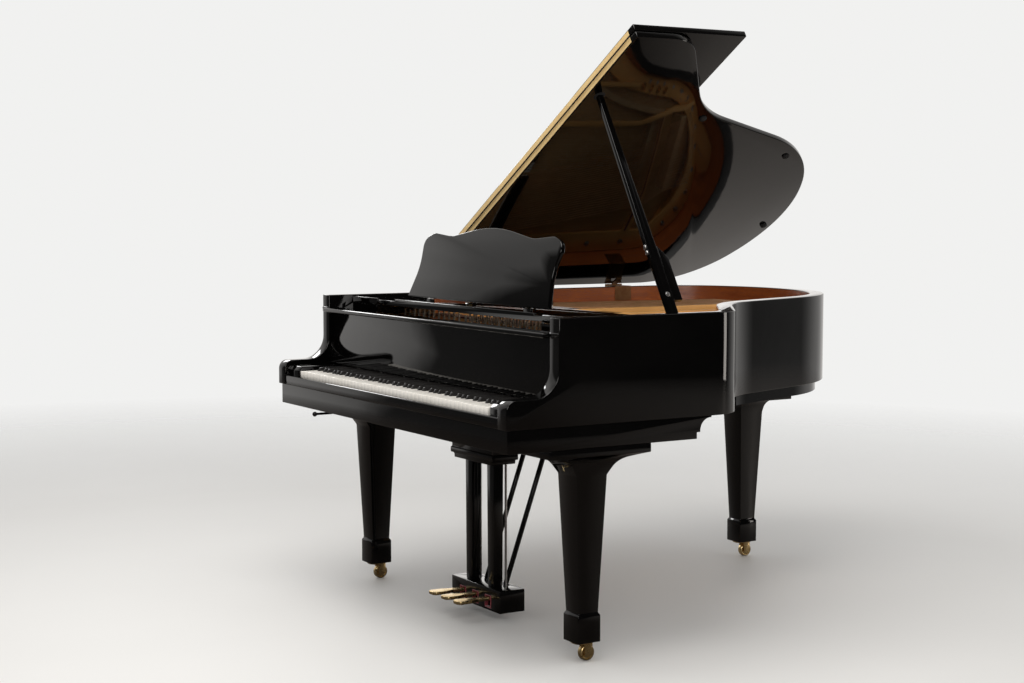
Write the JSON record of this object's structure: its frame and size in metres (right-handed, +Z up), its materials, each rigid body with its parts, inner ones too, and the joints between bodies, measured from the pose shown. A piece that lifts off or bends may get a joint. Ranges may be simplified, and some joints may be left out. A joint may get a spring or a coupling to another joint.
{
  "type": "grand piano",
  "caption": "Black lacquered grand piano on brass casters: lid propped open over a gold iron plate and strings, folding music desk, playable keyboard, pedals on a lyre.",
  "frame": {"origin": "on the floor, under the middle of the keyboard's front edge", "axes": "+X to the treble side, +Y from the keyboard to the tail, +Z up"},
  "size_m": [1.524, 1.8383, 1.8072],
  "materials": {
    "case_lacquer": "black lacquer polished to a high gloss",
    "inner_veneer": "reddish brown veneer, satin",
    "frame_wood": "plain hardwood, matt",
    "spruce": "varnished spruce, satin",
    "bridge_maple": "maple, satin",
    "gold_iron": "gold lacquered cast iron, satin",
    "string_steel": "drawn steel, bright",
    "bass_copper": "copper winding, satin",
    "white_key": "ivory white, gloss",
    "black_key": "black, satin gloss",
    "hammer_felt": "maple shank with pale felt",
    "damper_black": "black lacquered head on pale felt",
    "brass": "polished brass",
    "rod_steel": "steel, satin"
  },
  "bodies": {
    "case": {"outer_rim": "case_lacquer", "inner_rim": "inner_veneer", "keybed": "case_lacquer", "key_slip": "case_lacquer", "key_blocks": "case_lacquer", "name_rail": "case_lacquer", "shelf_rails": "case_lacquer", "back_frame": "frame_wood", "soundboard": "spruce", "bridges": "bridge_maple", "iron_plate": "gold_iron", "pin_block": "frame_wood", "treble_strings": "string_steel", "bass_strings": "bass_copper", "tuning_pins": "string_steel", "bass_leg": "case_lacquer", "treble_leg": "case_lacquer", "tail_leg": "case_lacquer", "lyre_head": "case_lacquer", "lyre_posts": "case_lacquer", "pedal_box": "case_lacquer", "lyre_braces": "case_lacquer", "hinge_rim_leaves": "brass", "prop_bracket": "brass"},
    "lid": {"main_lid": "case_lacquer", "hinge_lid_leaves": "brass", "flap_hinge_rear_leaf": "brass"},
    "lid_flap": {"front_lid": "case_lacquer", "flap_hinge_front_leaf": "brass"},
    "long_prop": {"long_prop": "case_lacquer"},
    "short_prop": {"short_prop": "case_lacquer"},
    "fallboard": {"fallboard": "case_lacquer"},
    "music_shelf": {"music_shelf": "case_lacquer"},
    "music_desk": {"music_desk": "case_lacquer"},
    "desk_struts": {"desk_struts": "brass"},
    "left_pedal": {"left_pedal": "brass"},
    "middle_pedal": {"middle_pedal": "brass"},
    "right_pedal": {"right_pedal": "brass"},
    "left_rod": {"left_pedal_rod": "rod_steel"},
    "middle_rod": {"middle_pedal_rod": "rod_steel"},
    "right_rod": {"right_pedal_rod": "rod_steel"},
    "dampers": {"dampers": "damper_black"},
    "key_frame": {"key_frame": "frame_wood"},
    "hammers": {"hammers": "hammer_felt"},
    "key_c": {"key_c": "white_key"},
    "key_c_sharp": {"key_c_sharp": "black_key"},
    "key_d": {"key_d": "white_key"},
    "key_d_sharp": {"key_d_sharp": "black_key"},
    "key_e": {"key_e": "white_key"},
    "bass_keys": {"bass_white_keys": "white_key", "bass_black_keys": "black_key"},
    "treble_keys": {"treble_white_keys": "white_key", "treble_black_keys": "black_key"},
    "bass_fork": {"bass_caster_fork": "brass"},
    "treble_fork": {"treble_caster_fork": "brass"},
    "tail_fork": {"tail_caster_fork": "brass"},
    "bass_wheel": {"bass_caster_wheel": "brass"},
    "treble_wheel": {"treble_caster_wheel": "brass"},
    "tail_wheel": {"tail_caster_wheel": "brass"},
    "keybed_lever": {"keybed_lever": "rod_steel"}
  },
  "joints": [
    {"name": "lid_hinge", "type": "hinge", "parent": "case", "child": "lid", "pos_m": [-0.759, 0.9, 0.9825], "axis": [0, -1, 0], "range_deg": [0, 20]},
    {"name": "flap_hinge", "type": "hinge", "parent": "lid", "child": "lid_flap", "pos_m": [-0.77221, 0.567, 1.00431], "axis": [0.8554, 0, 0.518], "range_deg": [0, 175]},
    {"name": "prop_fold", "type": "hinge", "parent": "case", "child": "long_prop", "pos_m": [0.668, 0.61, 0.952], "axis": [-0.8616, 0, -0.5075], "range_deg": [0, 45]},
    {"name": "short_prop_fold", "type": "hinge", "parent": "long_prop", "child": "short_prop", "pos_m": [0.6345, 0.6424, 1.00887], "axis": [-0.8616, 0, -0.5075], "range_deg": [0, 25]},
    {"name": "fallboard_hinge", "type": "hinge", "parent": "case", "child": "fallboard", "pos_m": [0, 0.177, 0.76], "axis": [1, 0, 0], "range_deg": [0, 90]},
    {"name": "shelf_slide", "type": "slide", "parent": "case", "child": "music_shelf", "axis": [0, 1, 0], "range_m": [-0.09, 0.01]},
    {"name": "desk_fold", "type": "hinge", "parent": "music_shelf", "child": "music_desk", "pos_m": [0, 0.343, 0.981], "axis": [-1, 0, 0], "range_deg": [0, 72]},
    {"name": "desk_strut_fold", "type": "hinge", "parent": "music_desk", "child": "desk_struts", "pos_m": [0, 0.37183, 1.05579], "axis": [1, 0, 0], "range_deg": [0, 131]},
    {"name": "left_pedal_press", "type": "hinge", "parent": "case", "child": "left_pedal", "pos_m": [-0.078, 0.356, 0.067], "axis": [1, 0, 0], "range_deg": [0, 6.5], "stiffness_Nm_per_rad": 20, "springref_deg": -11.46},
    {"name": "left_rod_lift", "type": "slide", "parent": "case", "child": "left_rod", "axis": [0, 0, 1], "range_m": [0, 0.0051]},
    {"name": "middle_pedal_press", "type": "hinge", "parent": "case", "child": "middle_pedal", "pos_m": [0, 0.356, 0.067], "axis": [1, 0, 0], "range_deg": [0, 6.5], "stiffness_Nm_per_rad": 20, "springref_deg": -11.46},
    {"name": "middle_rod_lift", "type": "slide", "parent": "case", "child": "middle_rod", "axis": [0, 0, 1], "range_m": [0, 0.0051]},
    {"name": "right_pedal_press", "type": "hinge", "parent": "case", "child": "right_pedal", "pos_m": [0.078, 0.356, 0.067], "axis": [1, 0, 0], "range_deg": [0, 6.5], "stiffness_Nm_per_rad": 20, "springref_deg": -11.46},
    {"name": "right_rod_lift", "type": "slide", "parent": "case", "child": "right_rod", "axis": [0, 0, 1], "range_m": [0, 0.0051]},
    {"name": "dampers_lift", "type": "slide", "parent": "case", "child": "dampers", "axis": [0, 0, 1], "range_m": [0, 0.0081]},
    {"name": "action_shift", "type": "slide", "parent": "case", "child": "key_frame", "axis": [1, 0, 0], "range_m": [0, 0.0031]},
    {"name": "hammers_strike", "type": "hinge", "parent": "key_frame", "child": "hammers", "pos_m": [0, 0.492, 0.816], "axis": [1, 0, 0], "range_deg": [0, 19]},
    {"name": "key_c_press", "type": "hinge", "parent": "key_frame", "child": "key_c", "pos_m": [-0.05887, 0.24, 0.713], "axis": [1, 0, 0], "range_deg": [0, 2.5], "stiffness_Nm_per_rad": 1.2, "springref_deg": -5.73},
    {"name": "key_c_sharp_press", "type": "hinge", "parent": "key_frame", "child": "key_c_sharp", "pos_m": [-0.04688, 0.24, 0.713], "axis": [1, 0, 0], "range_deg": [0, 2.5], "stiffness_Nm_per_rad": 1.2, "springref_deg": -5.73},
    {"name": "key_d_press", "type": "hinge", "parent": "key_frame", "child": "key_d", "pos_m": [-0.03533, 0.24, 0.713], "axis": [1, 0, 0], "range_deg": [0, 2.5], "stiffness_Nm_per_rad": 1.2, "springref_deg": -5.73},
    {"name": "key_d_sharp_press", "type": "hinge", "parent": "key_frame", "child": "key_d_sharp", "pos_m": [-0.02332, 0.24, 0.713], "axis": [1, 0, 0], "range_deg": [0, 2.5], "stiffness_Nm_per_rad": 1.2, "springref_deg": -5.73},
    {"name": "key_e_press", "type": "hinge", "parent": "key_frame", "child": "key_e", "pos_m": [-0.01178, 0.24, 0.713], "axis": [1, 0, 0], "range_deg": [0, 2.5], "stiffness_Nm_per_rad": 1.2, "springref_deg": -5.73},
    {"name": "bass_keys_press", "type": "hinge", "parent": "key_frame", "child": "bass_keys", "pos_m": [-0.34, 0.24, 0.713], "axis": [1, 0, 0], "range_deg": [0, 2.5], "stiffness_Nm_per_rad": 50, "springref_deg": -5.73},
    {"name": "treble_keys_press", "type": "hinge", "parent": "key_frame", "child": "treble_keys", "pos_m": [0.35, 0.24, 0.713], "axis": [1, 0, 0], "range_deg": [0, 2.5], "stiffness_Nm_per_rad": 50, "springref_deg": -5.73},
    {"name": "bass_caster_swivel", "type": "hinge", "parent": "case", "child": "bass_fork", "pos_m": [-0.64, 0.312, 0.058], "axis": [0, 0, 1], "continuous": true},
    {"name": "bass_wheel_roll", "type": "hinge", "parent": "bass_fork", "child": "bass_wheel", "pos_m": [-0.64, 0.326, 0.023], "axis": [1, 0, 0], "continuous": true},
    {"name": "treble_caster_swivel", "type": "hinge", "parent": "case", "child": "treble_fork", "pos_m": [0.64, 0.312, 0.058], "axis": [0, 0, 1], "continuous": true},
    {"name": "treble_wheel_roll", "type": "hinge", "parent": "treble_fork", "child": "treble_wheel", "pos_m": [0.64, 0.326, 0.023], "axis": [1, 0, 0], "continuous": true},
    {"name": "tail_caster_swivel", "type": "hinge", "parent": "case", "child": "tail_fork", "pos_m": [-0.286, 1.63, 0.058], "axis": [0, 0, 1], "continuous": true},
    {"name": "tail_wheel_roll", "type": "hinge", "parent": "tail_fork", "child": "tail_wheel", "pos_m": [-0.286, 1.644, 0.023], "axis": [1, 0, 0], "continuous": true},
    {"name": "keybed_lever_turn", "type": "hinge", "parent": "case", "child": "keybed_lever", "pos_m": [-0.49, 0.076, 0.612], "axis": [0, 0, 1], "range_deg": [-25, 25]}
  ],
  "couplings": [
    {"joint": "desk_strut_fold", "follows": "desk_fold", "ratio": 1.8056},
    {"joint": "left_rod_lift", "follows": "left_pedal_press", "m_per_rad": 0.044},
    {"joint": "middle_rod_lift", "follows": "middle_pedal_press", "m_per_rad": 0.044},
    {"joint": "right_rod_lift", "follows": "right_pedal_press", "m_per_rad": 0.044},
    {"joint": "dampers_lift", "follows": "right_pedal_press", "m_per_rad": 0.0705},
    {"joint": "action_shift", "follows": "left_pedal_press", "m_per_rad": 0.0264}
  ]
}
